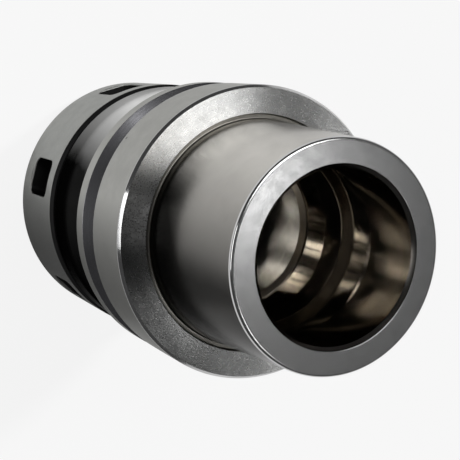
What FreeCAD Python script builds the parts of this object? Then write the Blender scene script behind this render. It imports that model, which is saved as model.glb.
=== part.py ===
import FreeCAD, Part
import math
import os
import re
import Sketcher
from FreeCAD import Placement, Rotation, Vector

# Collet chuck with a hollow taper shank, standing on the front face of its clamping nut.
# Z is the axis of rotation and points from the nut to the shank. Z 0 is the nut's front face.
# Everything is in millimetres and degrees.

doc = FreeCAD.newDocument("collet_chuck")
sheet = doc.addObject("Spreadsheet::Sheet", "Sizes")

# Driving dimensions: alias, value, what it measures
SIZES = [
    ("shank_length", 32.0, "flange contact face to the tip of the shank"),
    ("taper_gauge_diameter", 48.01, "shank diameter at the gauge height"),
    ("taper_gauge_height", 6.3, "gauge height above the flange face"),
    ("taper_ratio", 9.98, "length over which the shank's diameter falls by one"),
    ("tip_rounding", 0.75, "outer edge of the shank's tip"),
    ("shank_wall", 5.717, "wall of the hollow shank at its tip, which leaves a 34 mm bore"),
    ("mouth_chamfer", 0.8, "chamfer at the mouth of the shank"),
    ("gripper_depth", 14.5, "tip to the start of the gripper shoulder"),
    ("gripper_angle", 30.0, "gripper shoulder, from the axis"),
    ("gripper_shoulder", 3.0, "height of the gripper shoulder above the bore's wall"),
    ("gripper_groove_width", 5.7, "groove behind the gripper shoulder"),
    ("groove_end_width", 2.0, "sloped end wall of that groove"),
    ("groove_rounding", 1.0, "rounded edges of the end wall"),
    ("throat_rise", 1.1, "how much the wall narrows along the lead cone"),
    ("lead_width", 5.1, "lead cone between the groove and the chamber"),
    ("chamber_width", 7.2, "cylindrical chamber of the bore"),
    ("undercut_width", 0.8, "undercut at the end of the chamber"),
    ("undercut_depth", 0.35, "depth of that undercut into the wall"),
    ("lip_width", 1.1, "bevelled lip between chamber and through bore"),
    ("seat_shoulder", 0.97, "step from the through bore down to the collet seat"),
    ("ring_recess_width", 1.13, "recess round the root of the taper"),
    ("ring_recess_depth", 0.9, "depth of that recess below the flange face"),
    ("flange_diameter", 63.0, "flange"),
    ("flange_front_chamfer", 0.6, "chamfer at the contact face"),
    ("flange_back_chamfer", 1.0, "chamfer at the flange's back"),
    ("gripping_groove_place", 18.0, "flange contact face to the middle of the V-groove"),
    ("flange_back_band", 8.0, "middle of the V-groove to the flange's back"),
    ("gripping_groove_angle", 60.0, "included angle of the V-groove"),
    ("gripping_groove_depth", 5.0, "V-groove, from the flange's outside to its floor"),
    ("gripping_floor_width", 1.0, "width of the V-groove's floor"),
    ("waist_depth", 3.0, "waist behind the flange, below the collar"),
    ("waist_width", 3.0, "straight part of the waist"),
    ("waist_rounding", 14.0, "concave rounding between waist and flare"),
    ("flare_width", 9.0, "flare from the waist to the collar"),
    ("collar_rounding", 8.0, "convex rounding between flare and collar"),
    ("collar_width", 8.0, "collar next to the nut"),
    ("collar_inset", 0.5, "collar below the nut's outside"),
    ("collar_edge", 1.0, "rounded edge of the collar's face"),
    ("nut_gap", 1.0, "gap between the nut and the collar, nut tight"),
    ("nose_gap", 1.5, "back of the cone ring to the nose of the body, nut tight"),
    ("nose_wall", 3.88, "wall of the nose, from the collet seat's mouth to the root of the thread"),
    ("nose_chamfer", 1.0, "chamfer of the nose"),
    ("thread_depth", 0.92, "depth of the thread, cut later on the smooth nose"),
    ("thread_clearance", 0.05, "radial clearance of the thread"),
    ("thread_relief_width", 3.0, "run-out groove beside the collar"),
    ("thread_relief_depth", 0.5, "depth of the run-out groove below the thread"),
    ("collet_diameter", 41.0, "largest diameter of the collet"),
    ("collet_length", 46.0, "collet, end to end"),
    ("collet_angle", 8.0, "collet taper, from the axis"),
    ("collet_back_wall", 5.3, "collet's wall at its back end, which leaves a 20 mm bore"),
    ("collet_recess", 0.5, "collet and cone ring behind the nut's front face"),
    ("collet_head_inset", 1.2, "collet head below the collet's largest radius"),
    ("collet_head_length", 5.0, "collet head, front face to groove"),
    ("head_cone_width", 4.0, "length of the head's cone"),
    ("head_cone_angle", 30.0, "cone of the collet head, from the axis"),
    ("collet_groove_depth", 2.0, "collet groove, below the head"),
    ("collet_groove_width", 3.2, "collet groove"),
    ("collet_land_width", 0.8, "land at the collet's largest diameter"),
    ("collet_edge", 0.4, "edge chamfers of the collet"),
    ("slot_width", 0.9, "collet slots"),
    ("slot_pairs", 8, "slots from each end of the collet"),
    ("slot_front_web", 10.5, "material in front of the slots that open to the back"),
    ("slot_back_web", 7.0, "material behind the slots that open to the front"),
    ("seat_clearance", 0.05, "radial clearance of the collet in its seat and in the cone ring"),
    ("seat_relief", 1.5, "seat runs past the back of the collet"),
    ("nut_length", 28.0, "clamping nut"),
    ("nut_wall", 5.45, "nut's wall outside its thread"),
    ("nut_front_bevel", 5.2, "length of the bevel at the nut's front"),
    ("nut_front_angle", 30.0, "that bevel, from the axis"),
    ("nut_back_chamfer", 0.8, "chamfer at the nut's back"),
    ("nut_edge", 0.5, "chamfers of the nut's bores"),
    ("nut_thread_gap", 0.7, "back of the cone ring to the start of the nut's thread"),
    ("pocket_count", 6, "spanner pockets"),
    ("pocket_length", 12.5, "spanner pocket along the axis"),
    ("pocket_width", 9.1, "spanner pocket across"),
    ("pocket_floor", 1.25, "nut's wall under each pocket"),
    ("pocket_corner", 2.0, "corner radius of the pockets"),
    ("pocket_margin", 4.7, "pockets to the nut's back"),
    ("cone_ring_clearance", 0.2, "radial gap between the cone ring and the nut"),
    ("cone_ring_edge", 0.4, "edge chamfers of the cone ring"),
    ("cone_ring_tail", 1.9, "back of the cone ring behind its lip"),
    ("lip_play", 0.15, "eccentric lip's hole outside the collet head's radius"),
    ("lip_offset", 1.3, "how far that hole is off the axis"),
    ("lip_clearance", 0.1, "lip to the sides of the collet's groove"),
    ("lip_back_clearance", 0.4, "radial gap between the collet's land and the back of the ring"),
    ("ball_count", 36, "bearing balls"),
    ("ball_diameter", 4.0, "bearing ball"),
    ("race_wall", 1.45, "cone ring's wall under the ball race"),
    ("race_shoulder", 0.7, "ball row to the back of the cone ring"),
    ("race_clearance", 0.05, "ball to its races"),
    ("plug_diameter", 4.4, "plug of the filling hole"),
    ("plug_clearance", 0.05, "plug in its hole"),
    ("plug_sink", 0.4, "plug below the nut's side"),
    ("plug_gap", 0.5, "plug to the ball race"),
    ("plug_socket_width", 2.0, "hexagon socket across its flats"),
    ("plug_socket_depth", 1.5, "hexagon socket"),
    ("plug_angle", 30.0, "plug round the axis, between two pockets"),
]
for row, (alias, value, meaning) in enumerate(SIZES, start=1):
    sheet.set(f"A{row}", meaning)
    sheet.set(f"B{row}", str(value))
    sheet.setAlias(f"B{row}", alias)
doc.recompute()

ALIAS = re.compile(r"\b(" + "|".join(alias for alias, value, meaning in SIZES) + r")\b")


def bound(formula):
    """Return the formula as an expression that reads its aliases from the sheet."""
    return ALIAS.sub(r"Sizes.\1", formula)


def number(formula):
    """Return what the formula gives with the sheet's present values."""
    return float(sheet.evalExpression(formula))


# Heights along the axis, as formulas of the driving dimensions, from the nut's front face upwards
COLLET_FRONT = "collet_recess"
COLLET_BACK = "(collet_recess + collet_length)"
COLLET_GROOVE = "(collet_recess + collet_head_length)"
COLLET_LAND = f"({COLLET_GROOVE} + collet_groove_width)"
TAPER_START = f"({COLLET_LAND} + collet_land_width)"
SEAT_BACK = f"({COLLET_BACK} + seat_relief)"
LIP_FRONT = f"({COLLET_GROOVE} + lip_clearance)"
LIP_BACK = f"({COLLET_LAND} - lip_clearance)"
CONE_RING_BACK = f"({LIP_BACK} + cone_ring_tail)"
BALL_PLACE = f"({CONE_RING_BACK} - race_shoulder - ball_diameter / 2)"
NUT_THREAD_START = f"({CONE_RING_BACK} + nut_thread_gap)"
NOSE = f"({CONE_RING_BACK} + nose_gap)"
COLLAR_FACE = "(nut_length + nut_gap)"
RELIEF_FRONT = f"({COLLAR_FACE} - thread_relief_width)"
COLLAR_TOP = f"({COLLAR_FACE} + collar_width)"
WAIST_FRONT = f"({COLLAR_TOP} + flare_width)"
FLANGE_BACK = f"({WAIST_FRONT} + waist_width)"
GROOVE_MIDDLE = f"({FLANGE_BACK} + flange_back_band)"
FLANGE_FACE = f"({GROOVE_MIDDLE} + gripping_groove_place)"
RECESS_FLOOR = f"({FLANGE_FACE} - ring_recess_depth)"
TIP = f"({FLANGE_FACE} + shank_length)"


def shank_radius(height):
    """Radius of the shank's taper at a height."""
    drop = f"({height} - {FLANGE_FACE} - taper_gauge_height) / taper_ratio"
    return f"((taper_gauge_diameter - {drop}) / 2)"


def collet_radius(height):
    """Radius of the collet's taper at a height."""
    return f"(collet_diameter / 2 - ({height} - {TAPER_START}) * tan(collet_angle))"


# Bore of the shank, from the tip downwards
SHOULDER_TOP = f"({TIP} - gripper_depth)"
SHOULDER_END = f"({SHOULDER_TOP} - gripper_shoulder / tan(gripper_angle))"
GRIPPER_GROOVE_END = f"({SHOULDER_END} - gripper_groove_width)"
THROAT = f"({GRIPPER_GROOVE_END} - groove_end_width)"
CHAMBER_TOP = f"({THROAT} - lead_width)"
UNDERCUT_TOP = f"({CHAMBER_TOP} - chamber_width)"
UNDERCUT_FLOOR = f"({UNDERCUT_TOP} - undercut_width)"
THROUGH_TOP = f"({UNDERCUT_FLOOR} - lip_width)"

# Radii, as formulas of the driving dimensions
BORE_RADIUS = f"({shank_radius(TIP)} - shank_wall)"
GRIPPER_GROOVE_RADIUS = f"({BORE_RADIUS} + gripper_shoulder)"
SEAT_BACK_RADIUS = f"({collet_radius(SEAT_BACK)} + seat_clearance)"
THROUGH_RADIUS = f"({SEAT_BACK_RADIUS} + seat_shoulder)"
CHAMBER_RADIUS = f"({THROUGH_RADIUS} + lip_width)"
THROAT_RADIUS = f"({CHAMBER_RADIUS} + throat_rise)"
RECESS_RADIUS = f"({shank_radius(FLANGE_FACE)} + ring_recess_width)"
FLANGE_RADIUS = "(flange_diameter / 2)"
GROOVE_FLOOR_RADIUS = f"({FLANGE_RADIUS} - gripping_groove_depth)"
NOSE_RADIUS = f"({collet_radius(NOSE)} + seat_clearance + nose_wall)"
NUT_THREAD_RADIUS = f"({NOSE_RADIUS} + thread_depth + thread_clearance)"
NUT_RADIUS = f"({NUT_THREAD_RADIUS} + nut_wall)"
POCKET_FLOOR = f"({NUT_THREAD_RADIUS} + pocket_floor)"
COLLAR_RADIUS = f"({NUT_RADIUS} - collar_inset)"
WAIST_RADIUS = f"({COLLAR_RADIUS} - waist_depth)"
HEAD_RADIUS = "(collet_diameter / 2 - collet_head_inset)"
HEAD_FRONT_RADIUS = f"({HEAD_RADIUS} - head_cone_width * tan(head_cone_angle))"
COLLET_GROOVE_RADIUS = f"({HEAD_RADIUS} - collet_groove_depth)"
COLLET_BORE_RADIUS = f"({collet_radius(COLLET_BACK)} - collet_back_wall)"
LIP_RADIUS = f"({HEAD_RADIUS} + lip_play)"
TAIL_RADIUS = "(collet_diameter / 2 + lip_back_clearance)"
BALL_CIRCLE_RADIUS = f"({TAIL_RADIUS} + race_wall + race_clearance + ball_diameter / 2)"
CONE_RING_RADIUS = f"({BALL_CIRCLE_RADIUS} - cone_ring_clearance / 2)"
NUT_BORE_RADIUS = f"({BALL_CIRCLE_RADIUS} + cone_ring_clearance / 2)"
RACE_REACH = f"({BALL_CIRCLE_RADIUS} + ball_diameter / 2 + race_clearance)"
PLUG_SEAT = f"({RACE_REACH} + plug_gap)"
PLUG_HEAD = f"({NUT_RADIUS} - plug_sink)"

# Ends of a sketched line or arc, the centre of a circle, and how closely an edge has to match a size
START = 1
END = 2
CENTRE = 3
MATCH = 0.001
# Cuts run this far past the faces that they open
OVERRUN = "1"


def new_body(name):
    """Add an empty body whose label is the node's name."""
    body = doc.addObject("PartDesign::Body", name)
    body.Label = name
    body.Placement = Placement(Vector(0, 0, 0), Rotation())
    return body


def origin_feature(body, role):
    """Find one of the body's own origin planes or axes."""
    return [feature for feature in body.Origin.OriginFeatures if feature.Role == role][0]


def new_sketch(body, name, plane="XZ_Plane"):
    """Attach an empty sketch to one of the body's own origin planes."""
    sketch = body.newObject("Sketcher::SketchObject", name)
    sketch.AttachmentSupport = [(origin_feature(body, plane), "")]
    sketch.MapMode = "FlatFace"
    return sketch


def lift_sketch(sketch, height):
    """Move a sketch along its plane's normal."""
    sketch.AttachmentOffset = Placement(Vector(0, 0, number(height)), Rotation())
    sketch.setExpression("AttachmentOffset.Base.z", bound(height))


def turn_sketch(sketch, angle):
    """Turn a sketch on an upright plane round the Z axis."""
    sketch.AttachmentOffset = Placement(Vector(0, 0, 0), Rotation(Vector(0, 1, 0), number(angle)))
    sketch.setExpression("AttachmentOffset.Rotation.Angle", bound(angle))


def fix_point(sketch, geometry, end, across, along):
    """Dimension one sketch point from the origin."""
    for kind, formula in (("DistanceX", across), ("DistanceY", along)):
        index = sketch.addConstraint(Sketcher.Constraint(kind, geometry, end, number(formula)))
        sketch.setExpression(f"Constraints[{index}]", bound(formula))


def draw_outline(sketch, points):
    """Draw a closed outline through points given as formulas, each dimensioned from the origin."""
    places = [Vector(number(across), number(along), 0) for across, along in points]
    count = len(places)
    for side in range(count):
        sketch.addGeometry(Part.LineSegment(places[side], places[(side + 1) % count]))
    for side in range(count):
        following = (side + 1) % count
        sketch.addConstraint(Sketcher.Constraint("Coincident", side, END, following, START))
    for side, (across, along) in enumerate(points):
        fix_point(sketch, side, START, across, along)


def draw_circle(sketch, across, along, radius):
    """Draw a circle whose centre and radius are formulas."""
    centre = Vector(number(across), number(along), 0)
    circle = sketch.addGeometry(Part.Circle(centre, Vector(0, 0, 1), number(radius)))
    fix_point(sketch, circle, CENTRE, across, along)
    index = sketch.addConstraint(Sketcher.Constraint("Radius", circle, number(radius)))
    sketch.setExpression(f"Constraints[{index}]", bound(radius))


def draw_rounded_rectangle(sketch, half_width, low, high, corner):
    """Draw a rectangle centred across, from low to high, with rounded corners."""
    right = f"({half_width} - {corner})"
    left = f"(-{right})"
    bottom = f"({low} + {corner})"
    top = f"({high} - {corner})"
    sides = [
        ((left, low), (right, low)),
        ((half_width, bottom), (half_width, top)),
        ((right, high), (left, high)),
        ((f"(-{half_width})", top), (f"(-{half_width})", bottom)),
    ]
    centres = [(right, bottom), (right, top), (left, top), (left, bottom)]
    lines = []
    corners = []
    for start, end in sides:
        first = Vector(number(start[0]), number(start[1]), 0)
        last = Vector(number(end[0]), number(end[1]), 0)
        lines.append(sketch.addGeometry(Part.LineSegment(first, last)))
    for turn_index, (across, along) in enumerate(centres):
        circle = Part.Circle(Vector(number(across), number(along), 0), Vector(0, 0, 1), number(corner))
        start_angle = math.radians(90 * (turn_index - 1))
        arc = Part.ArcOfCircle(circle, start_angle, start_angle + math.pi / 2)
        corners.append(sketch.addGeometry(arc))
    for index, (start, end) in enumerate(sides):
        fix_point(sketch, lines[index], START, *start)
        fix_point(sketch, lines[index], END, *end)
        following = lines[(index + 1) % len(lines)]
        sketch.addConstraint(Sketcher.Constraint("Coincident", lines[index], END, corners[index], START))
        sketch.addConstraint(Sketcher.Constraint("Coincident", corners[index], END, following, START))
        across = Sketcher.Constraint("DistanceX", corners[index], CENTRE, number(centres[index][0]))
        sketch.setExpression(f"Constraints[{sketch.addConstraint(across)}]", bound(centres[index][0]))


def cut_pocket(body, name, sketch, length, midplane=False):
    """Cut a sketch outwards, away from its plane's back, or evenly to both sides of its plane."""
    pocket = body.newObject("PartDesign::Pocket", name)
    pocket.Profile = sketch
    pocket.Length = number(length)
    pocket.setExpression("Length", bound(length))
    pocket.SideType = "Symmetric" if midplane else "One side"
    pocket.Reversed = not midplane
    body.Tip = pocket
    volume_before = pocket.getPropertyByName("BaseFeature").Shape.Volume
    doc.recompute()
    if not pocket.Shape.Volume < volume_before:
        raise ValueError(f"{name} cuts nothing")
    return pocket


def revolve(body, name, points, kind="PartDesign::Revolution"):
    """Turn an outline of (radius, height) formulas about the Z axis, adding or cutting."""
    sketch = new_sketch(body, name + "_outline")
    draw_outline(sketch, points)
    return turn(body, name, sketch, kind)


def turn(body, name, sketch, kind):
    """Turn a finished sketch a full turn about the body's Z axis."""
    feature = body.newObject(kind, name)
    feature.Profile = sketch
    feature.ReferenceAxis = (origin_feature(body, "Z_Axis"), [""])
    feature.Angle = 360
    body.Tip = feature
    doc.recompute()
    return feature


def edges_at(feature, places):
    """Name the circular edges whose radius and height match one of the (radius, height) formulas."""
    wanted = [(number(radius), number(height)) for radius, height in places]
    names = []
    for index, edge in enumerate(feature.Shape.Edges, start=1):
        if not isinstance(edge.Curve, Part.Circle):
            continue
        found = (edge.Curve.Radius, edge.Curve.Center.z)
        for radius, height in wanted:
            if abs(found[0] - radius) < MATCH and abs(found[1] - height) < MATCH:
                names.append(f"Edge{index}")
    return names


def round_edges(body, name, places, radius):
    """Round the circular edges at the given places of a turned body."""
    base = body.Tip
    feature = body.newObject("PartDesign::Fillet", name)
    feature.Base = (base, edges_at(base, places))
    feature.Radius = number(radius)
    feature.setExpression("Radius", bound(radius))
    body.Tip = feature
    doc.recompute()
    return feature


def repeat_round_axis(body, name, original, count):
    """Repeat a feature evenly round the Z axis."""
    pattern = body.newObject("PartDesign::PolarPattern", name)
    pattern.Originals = [original]
    pattern.Axis = (origin_feature(body, "Z_Axis"), [""])
    pattern.Angle = 360
    pattern.Occurrences = int(number(count))
    pattern.setExpression("Occurrences", bound(count))
    body.Tip = pattern
    doc.recompute()
    return pattern


# Chuck body: the turned outside, from the nose in the nut up to the tip of the shank
chuck_body = new_body("chuck_body")
revolve(chuck_body, "turned_outside", [
    ("0", NOSE),
    (f"{NOSE_RADIUS} - nose_chamfer", NOSE),
    (NOSE_RADIUS, f"{NOSE} + nose_chamfer"),
    (NOSE_RADIUS, RELIEF_FRONT),
    (f"{NOSE_RADIUS} - thread_relief_depth", RELIEF_FRONT),
    (f"{NOSE_RADIUS} - thread_relief_depth", COLLAR_FACE),
    (COLLAR_RADIUS, COLLAR_FACE),
    (COLLAR_RADIUS, COLLAR_TOP),
    (WAIST_RADIUS, WAIST_FRONT),
    (WAIST_RADIUS, FLANGE_BACK),
    (f"{FLANGE_RADIUS} - flange_back_chamfer", FLANGE_BACK),
    (FLANGE_RADIUS, f"{FLANGE_BACK} + flange_back_chamfer"),
    (FLANGE_RADIUS, f"{FLANGE_FACE} - flange_front_chamfer"),
    (f"{FLANGE_RADIUS} - flange_front_chamfer", FLANGE_FACE),
    (RECESS_RADIUS, FLANGE_FACE),
    (RECESS_RADIUS, RECESS_FLOOR),
    (shank_radius(RECESS_FLOOR), RECESS_FLOOR),
    (shank_radius(TIP), TIP),
    ("0", TIP),
])

# V-groove in the flange, cut a little past the flange's surface
GROOVE_MOUTH = f"({FLANGE_RADIUS} + {OVERRUN})"
GROOVE_RISE = f"(gripping_groove_depth + {OVERRUN})"
GROOVE_HALF_MOUTH = f"(gripping_floor_width / 2 + {GROOVE_RISE} * tan(gripping_groove_angle / 2))"
revolve(chuck_body, "gripping_groove", [
    (GROOVE_FLOOR_RADIUS, f"{GROOVE_MIDDLE} - gripping_floor_width / 2"),
    (GROOVE_MOUTH, f"{GROOVE_MIDDLE} - {GROOVE_HALF_MOUTH}"),
    (GROOVE_MOUTH, f"{GROOVE_MIDDLE} + {GROOVE_HALF_MOUTH}"),
    (GROOVE_FLOOR_RADIUS, f"{GROOVE_MIDDLE} + gripping_floor_width / 2"),
], "PartDesign::Groove")

# Bore, from the mouth of the shank through to the nose: gripper groove, chamber, lip and collet seat
BELOW_NOSE = f"({NOSE} - {OVERRUN})"
revolve(chuck_body, "stepped_bore", [
    ("0", f"{TIP} + {OVERRUN}"),
    (f"{BORE_RADIUS} + mouth_chamfer + {OVERRUN}", f"{TIP} + {OVERRUN}"),
    (BORE_RADIUS, f"{TIP} - mouth_chamfer"),
    (BORE_RADIUS, SHOULDER_TOP),
    (GRIPPER_GROOVE_RADIUS, SHOULDER_END),
    (GRIPPER_GROOVE_RADIUS, GRIPPER_GROOVE_END),
    (THROAT_RADIUS, THROAT),
    (CHAMBER_RADIUS, CHAMBER_TOP),
    (CHAMBER_RADIUS, UNDERCUT_TOP),
    (f"{CHAMBER_RADIUS} + undercut_depth", UNDERCUT_TOP),
    (f"{CHAMBER_RADIUS} + undercut_depth", UNDERCUT_FLOOR),
    (CHAMBER_RADIUS, UNDERCUT_FLOOR),
    (THROUGH_RADIUS, THROUGH_TOP),
    (THROUGH_RADIUS, f"{SEAT_BACK} + seat_shoulder"),
    (SEAT_BACK_RADIUS, SEAT_BACK),
    (f"{collet_radius(BELOW_NOSE)} + seat_clearance", BELOW_NOSE),
    ("0", BELOW_NOSE),
], "PartDesign::Groove")

# Rounded edges: tip of the shank, end of the gripper groove, both ends of the flare, and the collar
round_edges(chuck_body, "tip_edge", [(shank_radius(TIP), TIP)], "tip_rounding")
round_edges(chuck_body, "groove_end_edges", [
    (GRIPPER_GROOVE_RADIUS, GRIPPER_GROOVE_END),
    (THROAT_RADIUS, THROAT),
], "groove_rounding")
round_edges(chuck_body, "waist_corner", [(WAIST_RADIUS, WAIST_FRONT)], "waist_rounding")
round_edges(chuck_body, "collar_corner", [(COLLAR_RADIUS, COLLAR_TOP)], "collar_rounding")
round_edges(chuck_body, "collar_face_edge", [(COLLAR_RADIUS, COLLAR_FACE)], "collar_edge")

# Clamping nut: bevelled front, thread bore, and a smooth bore for the cone ring
clamping_nut = new_body("clamping_nut")
revolve(clamping_nut, "turned_nut", [
    (f"{NUT_BORE_RADIUS} + nut_edge", "0"),
    (f"{NUT_RADIUS} - nut_front_bevel * tan(nut_front_angle)", "0"),
    (NUT_RADIUS, "nut_front_bevel"),
    (NUT_RADIUS, "nut_length - nut_back_chamfer"),
    (f"{NUT_RADIUS} - nut_back_chamfer", "nut_length"),
    (f"{NUT_THREAD_RADIUS} + nut_edge", "nut_length"),
    (NUT_THREAD_RADIUS, "nut_length - nut_edge"),
    (NUT_THREAD_RADIUS, NUT_THREAD_START),
    (NUT_BORE_RADIUS, NUT_THREAD_START),
    (NUT_BORE_RADIUS, "nut_edge"),
])


def cut_race(body):
    """Cut the half-round race for the balls, round the Z axis."""
    sketch = new_sketch(body, body.Name + "_race_outline")
    draw_circle(sketch, BALL_CIRCLE_RADIUS, BALL_PLACE, "ball_diameter / 2 + race_clearance")
    turn(body, body.Name + "_race", sketch, "PartDesign::Groove")


cut_race(clamping_nut)

# One spanner pocket on the X side, repeated round the nut
pocket_outline = new_sketch(clamping_nut, "pocket_outline", "YZ_Plane")
lift_sketch(pocket_outline, POCKET_FLOOR)
draw_rounded_rectangle(
    pocket_outline,
    "(pocket_width / 2)",
    "(nut_length - pocket_margin - pocket_length)",
    "(nut_length - pocket_margin)",
    "pocket_corner",
)
pocket_run = f"({NUT_RADIUS} - {POCKET_FLOOR} + {OVERRUN})"
pocket = cut_pocket(clamping_nut, "spanner_pocket", pocket_outline, pocket_run)
repeat_round_axis(clamping_nut, "spanner_pockets", pocket, "pocket_count")

# Filling hole for the balls, from the race out through the nut's side
hole_outline = new_sketch(clamping_nut, "filling_hole_outline", "YZ_Plane")
turn_sketch(hole_outline, "plug_angle")
draw_circle(hole_outline, "0", BALL_PLACE, "plug_diameter / 2 + plug_clearance")
cut_pocket(clamping_nut, "filling_hole", hole_outline, f"({NUT_RADIUS} + {OVERRUN})")

# Cone ring: 30 degree cone for the collet's head, then a lip with an eccentric hole behind it
LIP_STOCK = f"({LIP_RADIUS} - lip_offset - {OVERRUN})"
cone_ring = new_body("cone_ring")
revolve(cone_ring, "turned_ring", [
    (f"{HEAD_FRONT_RADIUS} + seat_clearance", COLLET_FRONT),
    (f"{CONE_RING_RADIUS} - cone_ring_edge", COLLET_FRONT),
    (CONE_RING_RADIUS, f"{COLLET_FRONT} + cone_ring_edge"),
    (CONE_RING_RADIUS, f"{CONE_RING_BACK} - cone_ring_edge"),
    (f"{CONE_RING_RADIUS} - cone_ring_edge", CONE_RING_BACK),
    (TAIL_RADIUS, CONE_RING_BACK),
    (TAIL_RADIUS, LIP_BACK),
    (LIP_STOCK, LIP_BACK),
    (LIP_STOCK, LIP_FRONT),
    (f"{HEAD_RADIUS} + seat_clearance", LIP_FRONT),
    (f"{HEAD_RADIUS} + seat_clearance", f"{COLLET_FRONT} + head_cone_width"),
])
cut_race(cone_ring)
lip_outline = new_sketch(cone_ring, "lip_outline", "XY_Plane")
lift_sketch(lip_outline, LIP_FRONT)
draw_circle(lip_outline, "lip_offset", "0", LIP_RADIUS)
cut_pocket(cone_ring, "eccentric_lip", lip_outline, f"{CONE_RING_BACK} - {LIP_FRONT}")

# Bearing balls: one ball on the X side, repeated round the race
bearing_balls = new_body("bearing_balls")
bearing_balls.AllowCompound = True
ball = bearing_balls.newObject("PartDesign::AdditiveSphere", "ball")
ball.AttachmentSupport = [(origin_feature(bearing_balls, "XY_Plane"), "")]
ball.MapMode = "FlatFace"
ball.setExpression("Radius", bound("ball_diameter / 2"))
ball.setExpression("AttachmentOffset.Base.x", bound(BALL_CIRCLE_RADIUS))
ball.setExpression("AttachmentOffset.Base.z", bound(BALL_PLACE))
bearing_balls.Tip = ball
doc.recompute()
repeat_round_axis(bearing_balls, "ball_row", ball, "ball_count")

# Ball plug: a short grub screw, drawn on the X side and turned round the axis to its hole
ball_plug = new_body("ball_plug")
ball_plug.Placement = Placement(Vector(0, 0, 0), Rotation(Vector(0, 0, 1), number("plug_angle")))
ball_plug.setExpression("Placement.Rotation.Angle", bound("plug_angle"))
plug_outline = new_sketch(ball_plug, "plug_outline", "YZ_Plane")
lift_sketch(plug_outline, PLUG_SEAT)
draw_circle(plug_outline, "0", BALL_PLACE, "plug_diameter / 2")
plug = ball_plug.newObject("PartDesign::Pad", "plug")
plug.Profile = plug_outline
plug.setExpression("Length", bound(f"{PLUG_HEAD} - {PLUG_SEAT}"))
ball_plug.Tip = plug
doc.recompute()
socket_outline = new_sketch(ball_plug, "socket_outline", "YZ_Plane")
lift_sketch(socket_outline, f"{PLUG_HEAD} - plug_socket_depth")
draw_outline(socket_outline, [
    (
        f"plug_socket_width / sqrt(3) * cos({60 * corner})",
        f"{BALL_PLACE} + plug_socket_width / sqrt(3) * sin({60 * corner})",
    )
    for corner in range(6)
])
cut_pocket(ball_plug, "plug_socket", socket_outline, f"plug_socket_depth + {OVERRUN}")

# Collet: 30 degree head, groove, then the long 8 degree taper
collet = new_body("collet")
revolve(collet, "turned_collet", [
    (f"{COLLET_BORE_RADIUS} + collet_edge", COLLET_FRONT),
    (HEAD_FRONT_RADIUS, COLLET_FRONT),
    (HEAD_RADIUS, f"{COLLET_FRONT} + head_cone_width"),
    (HEAD_RADIUS, COLLET_GROOVE),
    (COLLET_GROOVE_RADIUS, COLLET_GROOVE),
    (COLLET_GROOVE_RADIUS, COLLET_LAND),
    ("collet_diameter / 2 - collet_edge", COLLET_LAND),
    ("collet_diameter / 2", f"{COLLET_LAND} + collet_edge"),
    ("collet_diameter / 2", TAPER_START),
    (collet_radius(f"({COLLET_BACK} - collet_edge)"), f"{COLLET_BACK} - collet_edge"),
    (f"{collet_radius(COLLET_BACK)} - collet_edge", COLLET_BACK),
    (f"{COLLET_BORE_RADIUS} + collet_edge", COLLET_BACK),
    (COLLET_BORE_RADIUS, f"{COLLET_BACK} - collet_edge"),
    (COLLET_BORE_RADIUS, f"{COLLET_FRONT} + collet_edge"),
])


def cut_slots(name, angle, low, high):
    """Saw the collet's wall from low to high on the X side, turned by an angle, and repeat it."""
    outline = new_sketch(collet, name + "_outline")
    turn_sketch(outline, angle)
    draw_outline(outline, [
        (f"{COLLET_BORE_RADIUS} / 2", low),
        (f"collet_diameter / 2 + {OVERRUN}", low),
        (f"collet_diameter / 2 + {OVERRUN}", high),
        (f"{COLLET_BORE_RADIUS} / 2", high),
    ])
    slot = cut_pocket(collet, name, outline, "slot_width", midplane=True)
    repeat_round_axis(collet, name + "s", slot, "slot_pairs")


cut_slots("front_slot", "0", f"({COLLET_FRONT} - {OVERRUN})", f"({COLLET_BACK} - slot_back_web)")
cut_slots(
    "back_slot",
    "(180 / slot_pairs)",
    f"({COLLET_FRONT} + slot_front_web)",
    f"({COLLET_BACK} + {OVERRUN})",
)

# Check every object, then write one file for each piece
doc.recompute()
for part in doc.Objects:
    if "Invalid" in part.State or "Error" in part.State:
        raise ValueError(f"{part.Label} did not compute")
os.makedirs("parts", exist_ok=True)
for body in doc.findObjects("PartDesign::Body"):
    if body.Shape.isNull() or not body.Shape.isValid():
        raise ValueError(f"{body.Label} is not a valid solid")
    body.Shape.exportStep(f"parts/{body.Label}.step")
    solids = len(body.Shape.Solids)
    print(f"{body.Label}: {solids} solid(s), {body.Shape.Volume:.1f} mm3")
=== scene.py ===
# %% [markdown]
# # A collet chuck in steel
# The chuck stands on the front face of its clamping nut, with the hollow taper shank pointing up.
# It is nearly all turned on a lathe, so most pieces here are made the same way: a thin outline is
# drawn beside the axis and spun round it. The sizes come from the imported CAD model, and every piece
# stays inside it. What Blender adds is broken edges, the thread, and the finish of each surface.

# %% Load the imported model and move its placements into the meshes
import math
import bmesh
import bpy
from mathutils import Matrix, Vector


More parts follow.
